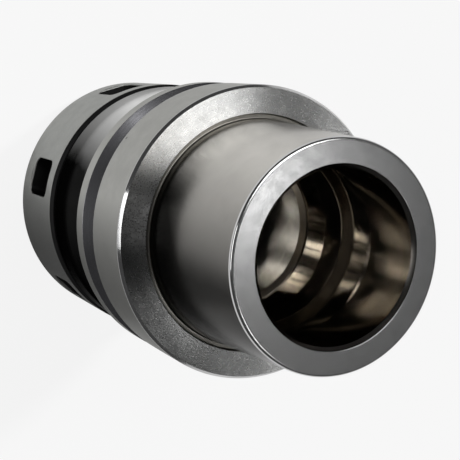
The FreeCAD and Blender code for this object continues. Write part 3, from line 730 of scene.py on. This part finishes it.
def dress(piece, zones, rest):
    """Give each face the finish of the first zone it lies in, and the rest of the piece the last one."""
    names = list(dict.fromkeys([zone[0] for zone in zones] + [rest]))
    piece.data.materials.clear()
    for name in names:
        piece.data.materials.append(FINISHES[name])
    for face in piece.data.polygons:
        radius = math.hypot(face.center.x, face.center.y) / MM
        height = face.center.z / MM
        chosen = rest
        for finish, radii, heights, only_up in zones:
            if only_up and face.normal.z <= FACING_UP:
                continue
            if within(radius, radii) and within(height, heights):
                chosen = finish
                break
        face.material_index = names.index(chosen)
    print(piece.name, "wears", ", ".join(names))


# %% Dress the pieces
BODY_ZONES = [  # finish, span of radius, span of height, whether only faces that point up
    ("tip_ground", (17.7, 40), (106.9, 108), True),
    ("edge_polished", (17.76, 40), (106.1, 108), False),
    # Painted shade at the mouth of the bore.
    ("bore_mouth_painted_dark", ALL, (106.1, 108), False),
    ("bore_deep", (0, 17.5), (47.9, 66), False),
    ("face_ground", (25.5, 40), (74.97, 75.03), True),
    ("recess_turned", (24.2, 25.6), (73.9, 75), False),
    ("taper_ground", (22, 40), (75, 108), False),
    ("bore_honed", (0, 21.5), ALL, False),
    ("edge_polished", (30, 40), (74.3, 108), False),
    ("edge_polished", (30, 40), (49, 49.9), False),
    ("groove_ground", (0, 31.45), (53.6, 60.4), False),
    ("band_ground", (31.3, 40), ALL, False),
    # Painted shade: the undercut above the thread, hidden in the nut, is painted near-black.
    ("painted_black_shade", ALL, (25.8, 30), False),
    ("neck_polished", ALL, (30, 50), False),
]
# Painted shade: every zone of the nut listed here is painted near-black.
NUT_ZONES = [  # the bore, the pockets, the filling hole and the back edge
    ("painted_black_shade", (0, 27), ALL, False),
    ("painted_black_shade", (0, 30.1), (10, 24), False),
    ("painted_black_shade", (0, 29.9), (5.3, 11), False),
    ("painted_black_shade", ALL, (27.3, 200), False),
]
COLLET_ZONES = [
    # Painted shade: the collet's upper end, deep inside the body, is painted near-black.
    ("painted_black_shade", ALL, (38, 200), False),
    ("collet_bore", (0, 10.5), ALL, False),
]
dress(body, BODY_ZONES, "thread_cut")
dress(nut, NUT_ZONES, "nut_matt")
dress(ring, [], "spring_ground")
dress(collet, COLLET_ZONES, "spring_ground")
dress(plug, [], "black_oxide")
dress(nose_thread, [], "thread_cut")
dress(nut_thread, [], "thread_cut")
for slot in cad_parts["bearing_balls"].material_slots:
    slot.material = FINISHES["bearing_steel"]

# %% [markdown]
# ## A pale floor
# The chuck stands on a sheet of pale paper. The camera sees mostly the paper's plain tone, and a
# little of its lit surface, which keeps the shadow. In the steel the lit paper shows, with the shadow
# of the chuck on it, and a share of the plain tone is added, though not under the chuck, where it is
# dark. The world is the same pale tone, so the chuck can be looked at from any side.

# %% Floor and surroundings
PALE = (0.93, 0.93, 0.93, 1)
DARK = (0.01, 0.01, 0.01, 1)
CAMERA_SHARE = 0.95
FLOOR_GLOSS = 0.28
WORLD_GLOSS = 0.07
FOOT_RADIUS = 0.026
FOOT_EDGE = 0.034
FLOOR_SIZE = 8
PAPER = (0.9, 0.9, 0.9, 1)


def background_share(tree, gloss):
    """How much of the plain background a ray sees: most for the camera, some in reflections."""
    path = add_node(tree, "ShaderNodeLightPath")
    seen = calculate(tree, "MULTIPLY", path.outputs["Is Camera Ray"], CAMERA_SHARE)
    glossy, through = path.outputs["Is Glossy Ray"], path.outputs["Is Transmission Ray"]
    mirrored = calculate(tree, "ADD", glossy, through)
    return calculate(tree, "ADD", seen, calculate(tree, "MULTIPLY", mirrored, gloss))


deselect_all()
bpy.ops.mesh.primitive_plane_add(size=FLOOR_SIZE)
floor = bpy.context.active_object
floor.name = "studio_floor"
paper = bpy.data.materials.new("studio_paper")
paper.use_nodes = True
tree = paper.node_tree
tree.nodes.remove(tree.nodes["Principled BSDF"])
place = add_node(tree, "ShaderNodeTexCoord").outputs["Object"]
away = length_of(tree, place)
share = background_share(tree, remap(tree, away, FOOT_RADIUS, FOOT_EDGE, 0, FLOOR_GLOSS))
lit = add_node(tree, "ShaderNodeBsdfDiffuse", Color=PAPER)
plain = add_node(tree, "ShaderNodeEmission", Color=PALE, Strength=1)
blend = add_node(tree, "ShaderNodeMixShader", i0=share, i1=lit.outputs[0], i2=plain.outputs[0])
tree.links.new(blend.outputs[0], tree.nodes["Material Output"].inputs["Surface"])
floor.data.materials.append(paper)

world = bpy.context.scene.world or bpy.data.worlds.new("studio_world")
bpy.context.scene.world = world
world.use_nodes = True
tree = world.node_tree
share = background_share(tree, WORLD_GLOSS)
tone = add_node(tree, "ShaderNodeMix", {"data_type": "RGBA"}, i0=share, i6=DARK, i7=PALE)
tree.links.new(tone.outputs[2], tree.nodes["Background"].inputs["Color"])
print("Floor and world share the tone", PALE[:3])

# %% [markdown]
# ## Softboxes
# Polished steel shows its lamps, so their shapes matter more than their power. The key softbox makes
# the bright fan at the upper left of the flange, a small one whitens the tip, one at the side lights
# the lower fan, and a strip at the left draws the bright line down the flange's edge. A soft sun
# lights only the paper: it is hidden from reflections, and steel has no other way to show it. Two
# narrow spots do the same down the bore, where light comes up through a collet in real use.

# %% Lamps
def lamp(name, kind, place, target, power, **settings):
    """Add a lamp that points at a target."""
    light = bpy.data.lights.new(name, kind)
    light.energy = power
    for key, value in settings.items():
        setattr(light, key, value)
    holder = bpy.data.objects.new(name, light)
    bpy.context.scene.collection.objects.link(holder)
    holder.location = place
    holder.rotation_euler = (Vector(target) - Vector(place)).to_track_quat("-Z", "Y").to_euler()
    print("Lamp", name)
    return holder


MIDDLE = (0, 0, 0.05)
PANELS = (  # name, place, width, depth, brightness
    ("key_softbox", (-0.03, 0.53, 1.05), 0.88, 0.56, 2.8),
    ("tip_softbox", (0.46, 0.03, 1.05), 0.14, 0.18, 1.7),
    ("side_softbox", (0.33, -0.36, 1.05), 0.20, 0.22, 2.8),
    ("left_strip", (-0.98, -0.2, 0.6), 0.6, 0.26, 3),
)
SUN_PLACE = (0.45, 0.54, 0.87)
SUN_POWER = 2.8
SUN_SPREAD = 6
BORE_PINS = (  # name, target, power, spread in degrees
    ("bore_pin_low", (-0.0086, -0.0046, 0), 1100, 1.0),
    ("bore_pin_right", (0.0086, 0.0012, 0), 60, 0.45),
)
PIN_PLACE = (0, 0, 0.5)
PIN_BLEND = 0.3
PIN_SIZE = 0.002

for name, place, width, depth, brightness in PANELS:
    power = brightness * math.pi * width * depth
    lamp(name, "AREA", place, MIDDLE, power, shape="RECTANGLE", size=width, size_y=depth)
sun = lamp("paper_sun", "SUN", SUN_PLACE, (0, 0, 0), SUN_POWER, angle=math.radians(SUN_SPREAD))
paper_lamps = [sun]
for name, target, power, spread in BORE_PINS:
    pin = lamp(name, "SPOT", PIN_PLACE, target, power, spot_size=math.radians(spread))
    pin.data.spot_blend = PIN_BLEND
    pin.data.shadow_soft_size = PIN_SIZE
    paper_lamps.append(pin)
for holder in paper_lamps:
    holder.visible_glossy = False

# %% [markdown]
# ## The camera
# The place and the turn of the camera were fitted to the rings in the photo: each ring of a turned
# part shows as an ellipse, and together they fix where the lens stood. It is close, about 30 cm away,
# so the shank looks larger than the nut.

# %% Camera
CAMERA_PLACE = Vector((-113.6, 6.9, 273.7)) * MM
CAMERA_RIGHT = Vector((0.85864, 0.23565, 0.45520))
CAMERA_UP = Vector((-0.19589, 0.97152, -0.13342))
FOCAL_LENGTH = 84.5
LENS_SHIFT = (-0.0033, -0.0163)

right = CAMERA_RIGHT.normalized()
back = right.cross(CAMERA_UP).normalized()
up = back.cross(right)
camera_data = bpy.data.cameras.new("photo_camera")
camera_data.sensor_width = 36
camera_data.lens = FOCAL_LENGTH
camera_data.shift_x, camera_data.shift_y = LENS_SHIFT
camera_data.clip_start = 0.01
camera = bpy.data.objects.new("photo_camera", camera_data)
bpy.context.scene.collection.objects.link(camera)
camera.matrix_world = Matrix.Translation(CAMERA_PLACE) @ Matrix((right, up, back)).transposed().to_4x4()
bpy.context.scene.camera = camera
bpy.context.scene.view_settings.view_transform = "Standard"
print("Camera at", round(CAMERA_PLACE.length / MM), "mm from the foot of the axis")
